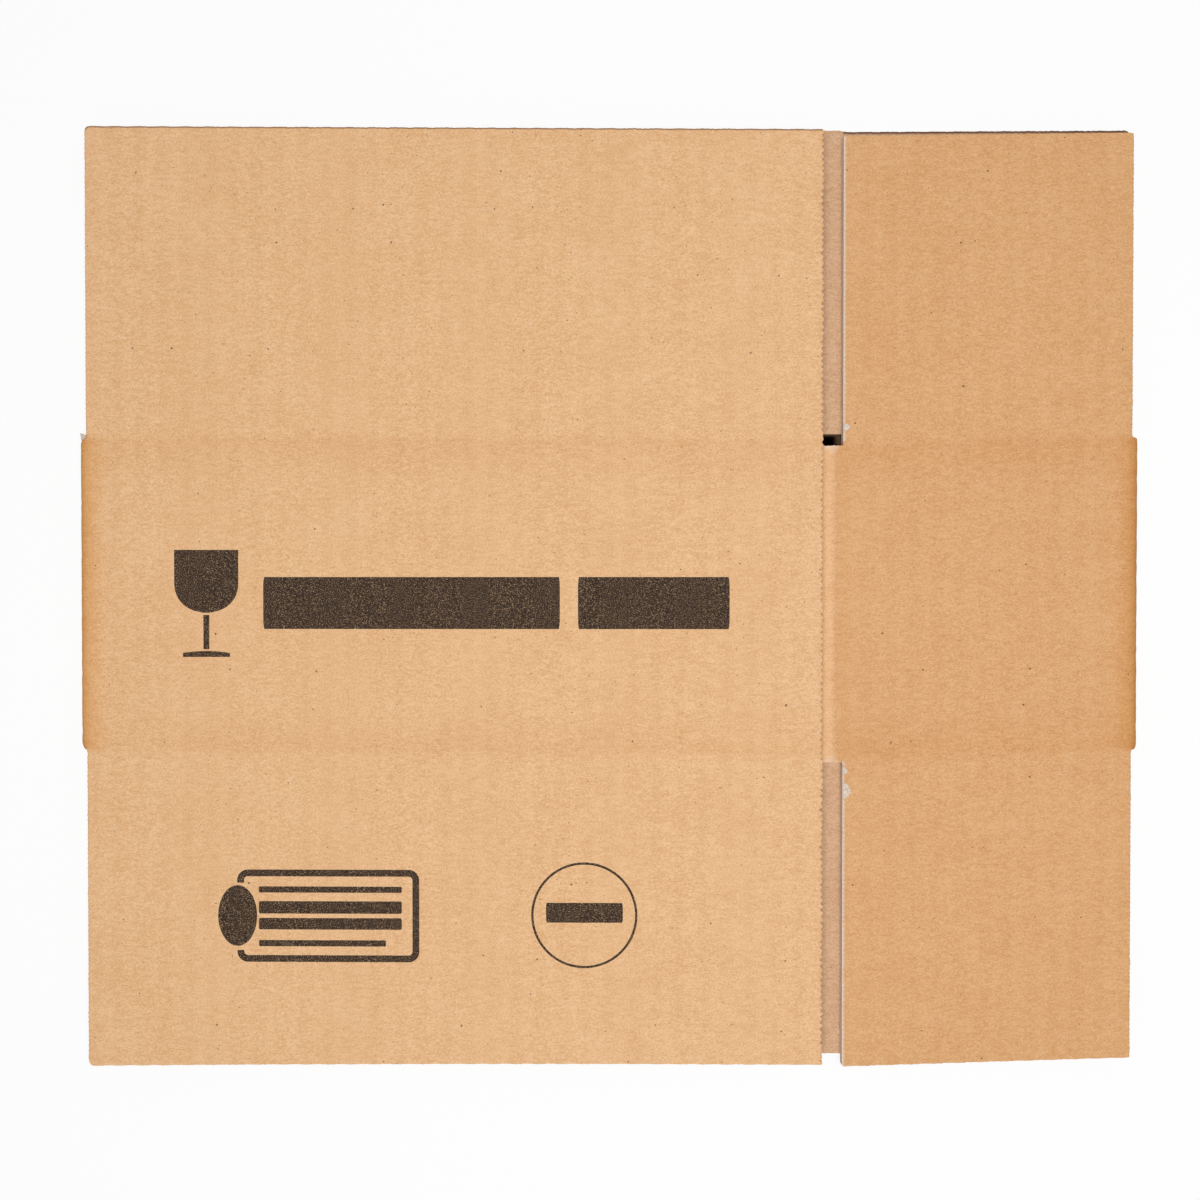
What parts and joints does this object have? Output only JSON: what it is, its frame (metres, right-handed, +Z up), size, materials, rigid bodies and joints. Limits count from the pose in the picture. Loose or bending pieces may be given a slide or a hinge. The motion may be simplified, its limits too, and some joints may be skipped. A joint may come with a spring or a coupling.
{
  "type": "bottle shipping box",
  "caption": "Knocked-down corrugated case for upright bottles: a glued sleeve folded flat with full-overlap flaps open at its creases.",
  "frame": {"origin": "centre of the bounding box on the surface that the flat case lies on", "axes": "+X along the long panels, towards the short front panel; +Y along the flutes, towards the upper flaps; +Z up, from the back layer to the front layer"},
  "size_m": [0.3586, 0.3174, 0.0117],
  "materials": {
    "corrugated_board": "uncoated kraft liner, matte",
    "dried_glue": "dried starch and resin film"
  },
  "bodies": {
    "sleeve": {"case_sleeve": "corrugated_board", "glue_seam": "dried_glue"},
    "front_long_upper": {"front_long_upper_flap": "corrugated_board"},
    "front_long_lower": {"front_long_lower_flap": "corrugated_board"},
    "front_short_upper": {"front_short_upper_flap": "corrugated_board"},
    "front_short_lower": {"front_short_lower_flap": "corrugated_board"},
    "back_long_upper": {"back_long_upper_flap": "corrugated_board"},
    "back_long_lower": {"back_long_lower_flap": "corrugated_board"},
    "back_short_upper": {"back_short_upper_flap": "corrugated_board"},
    "back_short_lower": {"back_short_lower_flap": "corrugated_board"}
  },
  "joints": [
    {"name": "front_long_upper_crease", "type": "hinge", "parent": "sleeve", "child": "front_long_upper", "pos_m": [-0.05207, 0.05388, 0.00999], "axis": [0.9999, -0.0048, 0.0137], "range_deg": [0, 115]},
    {"name": "front_long_lower_crease", "type": "hinge", "parent": "sleeve", "child": "front_long_lower", "pos_m": [-0.05207, -0.05242, 0.00999], "axis": [-0.9999, 0.0048, -0.0137], "range_deg": [0, 115]},
    {"name": "front_short_upper_crease", "type": "hinge", "parent": "sleeve", "child": "front_short_upper", "pos_m": [0.12802, 0.05315, 0.00851], "axis": [0.9996, 0.0282, -0.0044], "range_deg": [0, 115]},
    {"name": "front_short_lower_crease", "type": "hinge", "parent": "sleeve", "child": "front_short_lower", "pos_m": [0.12802, -0.05315, 0.00851], "axis": [-0.9996, -0.0282, 0.0044], "range_deg": [0, 115]},
    {"name": "back_long_upper_crease", "type": "hinge", "parent": "sleeve", "child": "back_long_upper", "pos_m": [0.052, 0.05448, 0], "axis": [-1, 0, 0], "range_deg": [0, 115]},
    {"name": "back_long_lower_crease", "type": "hinge", "parent": "sleeve", "child": "back_long_lower", "pos_m": [0.052, -0.05182, 0], "axis": [1, 0, 0], "range_deg": [0, 115]},
    {"name": "back_short_upper_crease", "type": "hinge", "parent": "sleeve", "child": "back_short_upper", "pos_m": [-0.128, 0.05448, 0], "axis": [-1, 0, 0], "range_deg": [0, 115]},
    {"name": "back_short_lower_crease", "type": "hinge", "parent": "sleeve", "child": "back_short_lower", "pos_m": [-0.128, -0.05182, 0], "axis": [1, 0, 0], "range_deg": [0, 115]}
  ]
}
